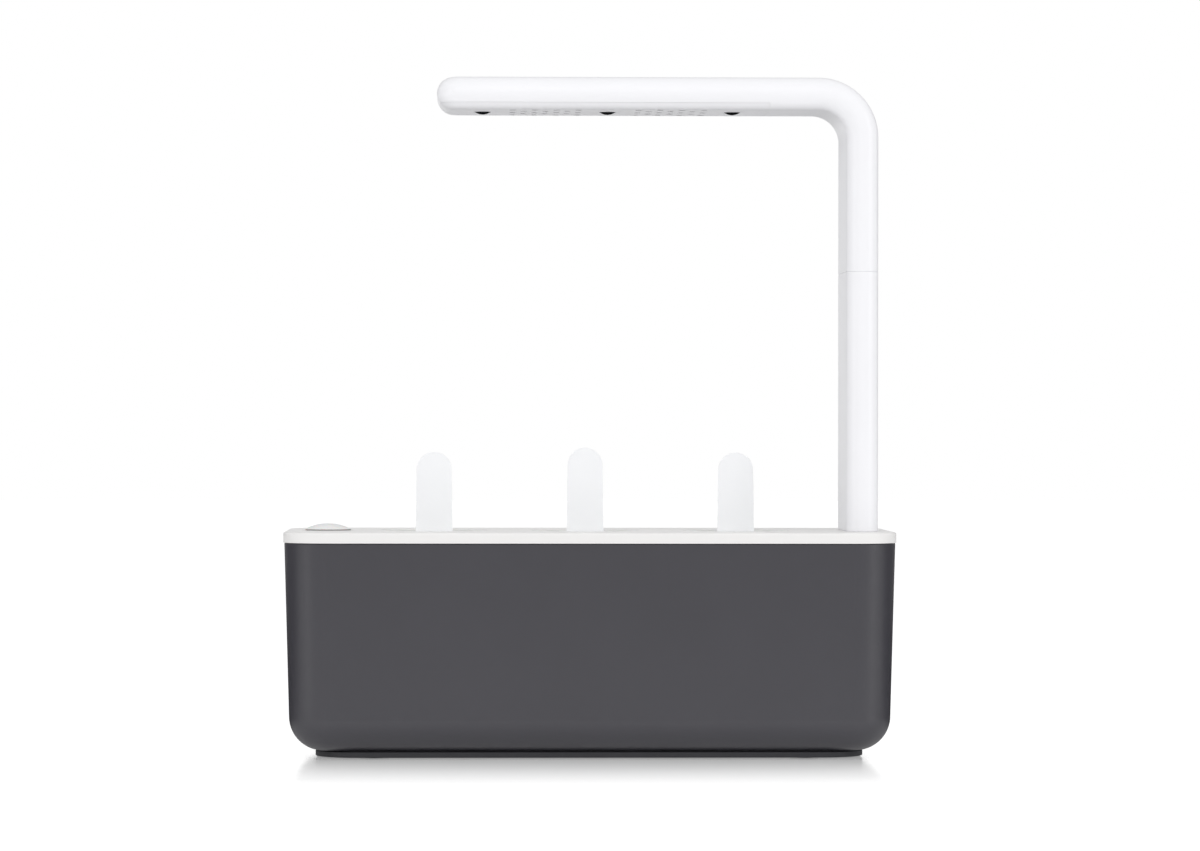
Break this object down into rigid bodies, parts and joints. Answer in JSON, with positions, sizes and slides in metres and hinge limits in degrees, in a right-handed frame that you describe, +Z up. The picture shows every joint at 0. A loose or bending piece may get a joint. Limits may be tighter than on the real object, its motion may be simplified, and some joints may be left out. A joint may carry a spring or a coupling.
{
  "type": "countertop hydroponic garden",
  "caption": "Self-watering tabletop planter: rounded water tank with lift-off lid, plant cups with pods and tags, a level float, and a bent grow lamp on a plug-in post.",
  "frame": {"origin": "centre of the footprint, on the surface that the garden stands on", "axes": "+X along the tank towards the lamp's post, +Y to the rear, +Z up"},
  "size_m": [0.3, 0.125, 0.3343],
  "materials": {
    "charcoal_plastic": "matt moulded ABS",
    "black_plastic": "matt moulded ABS",
    "rubber_pads": "matt rubber",
    "white_plastic": "satin moulded ABS",
    "lamp_plastic": "satin moulded ABS",
    "float_plastic": "satin moulded polypropylene",
    "cup_plastic": "moulded polypropylene",
    "pod_plastic": "moulded polypropylene",
    "growing_medium": "damp peat foam",
    "cover_card": "coated card",
    "tag_card": "thin translucent card",
    "wick_felt": "needle felt",
    "contact_brass": "plated",
    "circuit_board": "solder mask",
    "light_board": "white solder mask",
    "led_phosphor": "phosphor gel",
    "clear_lens": "clear acrylic",
    "steel_screws": "zinc plated",
    "wire_insulation": "PVC"
  },
  "bodies": {
    "tank": {"tank_shell": "charcoal_plastic", "base_plinth": "black_plastic", "foot_pads": "rubber_pads"},
    "lid": {"lid_cover": "white_plastic", "float_guide": "white_plastic", "lamp_socket": "white_plastic", "socket_contacts": "contact_brass", "timer_board": "circuit_board", "dc_inlet": "black_plastic", "socket_base": "white_plastic", "socket_screws": "steel_screws"},
    "float": {"float_cap": "float_plastic", "float_body": "float_plastic"},
    "cup_left": {"plant_cup_left": "cup_plastic", "wick_left": "wick_felt"},
    "cup_middle": {"plant_cup_middle": "cup_plastic", "wick_middle": "wick_felt"},
    "cup_right": {"plant_cup_right": "cup_plastic", "wick_right": "wick_felt"},
    "pod_left": {"pod_shell_left": "pod_plastic", "growing_medium_left": "growing_medium", "pod_cover_left": "cover_card", "plant_tag_left": "tag_card"},
    "pod_middle": {"pod_shell_middle": "pod_plastic", "growing_medium_middle": "growing_medium", "pod_cover_middle": "cover_card", "plant_tag_middle": "tag_card"},
    "pod_right": {"pod_shell_right": "pod_plastic", "growing_medium_right": "growing_medium", "pod_cover_right": "cover_card", "plant_tag_right": "tag_card"},
    "extension": {"extension_tube": "lamp_plastic", "extension_plug": "white_plastic", "extension_contacts": "contact_brass", "extension_socket": "white_plastic", "extension_socket_contacts": "contact_brass", "extension_wires": "wire_insulation"},
    "lamp": {"lamp_housing": "lamp_plastic", "lamp_cover": "lamp_plastic", "led_board": "light_board", "led_emitters": "led_phosphor", "led_lenses": "clear_lens", "board_screws": "steel_screws", "lamp_plug": "white_plastic", "lamp_contacts": "contact_brass", "lamp_wires": "wire_insulation"}
  },
  "joints": [
    {"name": "lid_lift", "type": "slide", "parent": "tank", "child": "lid", "axis": [0, 0, 1], "range_m": [0, 0.12]},
    {"name": "float_level", "type": "slide", "parent": "lid", "child": "float", "axis": [0, 0, 1], "range_m": [-0.03, 0], "stiffness_N_per_m": 2.8, "springref_m": 0.05},
    {"name": "cup_lift_left", "type": "slide", "parent": "lid", "child": "cup_left", "axis": [0, 0, 1], "range_m": [0, 0.1]},
    {"name": "cup_lift_middle", "type": "slide", "parent": "lid", "child": "cup_middle", "axis": [0, 0, 1], "range_m": [0, 0.1]},
    {"name": "cup_lift_right", "type": "slide", "parent": "lid", "child": "cup_right", "axis": [0, 0, 1], "range_m": [0, 0.1]},
    {"name": "pod_lift_left", "type": "slide", "parent": "cup_left", "child": "pod_left", "axis": [0, 0, 1], "range_m": [0, 0.055]},
    {"name": "pod_lift_middle", "type": "slide", "parent": "cup_middle", "child": "pod_middle", "axis": [0, 0, 1], "range_m": [0, 0.055]},
    {"name": "pod_lift_right", "type": "slide", "parent": "cup_right", "child": "pod_right", "axis": [0, 0, 1], "range_m": [0, 0.055]},
    {"name": "extension_pull", "type": "slide", "parent": "lid", "child": "extension", "axis": [0, 0, 1], "range_m": [0, 0.03]},
    {"name": "lamp_pull", "type": "slide", "parent": "extension", "child": "lamp", "axis": [0, 0, 1], "range_m": [0, 0.03]}
  ]
}
